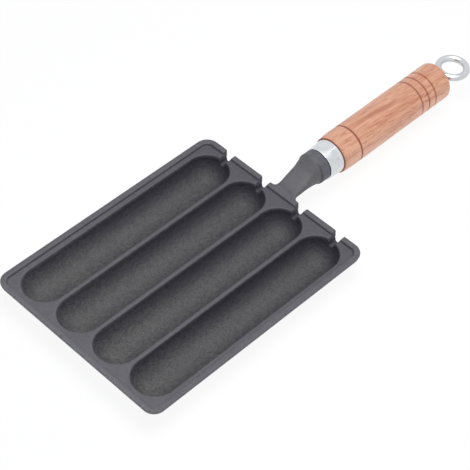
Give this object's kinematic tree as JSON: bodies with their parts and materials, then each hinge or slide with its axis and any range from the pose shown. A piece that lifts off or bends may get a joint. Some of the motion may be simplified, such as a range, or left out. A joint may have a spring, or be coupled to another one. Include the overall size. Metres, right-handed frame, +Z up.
{
  "type": "corn dog pan",
  "caption": "Cast-iron pan with long half-round troughs side by side, a stick notch through the rim at each, and a turned wooden grip with a steel hanging eye.",
  "frame": {"origin": "bottom centre of the bounding box: on the surface the pan stands on, in the middle of its width and of its whole length", "axes": "+Z up, out of the open troughs; +Y along the handle, from the troughs to the hanging eye; +X to the right seen from the troughs' end"},
  "size_m": [0.1554, 0.4, 0.0391],
  "materials": {
    "cast_iron": "matt dark grey, fine sand-cast grain",
    "ferrule_metal": "satin, faint turning lines",
    "wood": "satin oil, open straight grain, scorched turned grooves",
    "steel": "bright plated"
  },
  "bodies": {
    "root": {"pan_casting": "cast_iron", "ferrule": "ferrule_metal", "handle_grip": "wood", "eye_rod": "steel"}
  },
  "joints": []
}
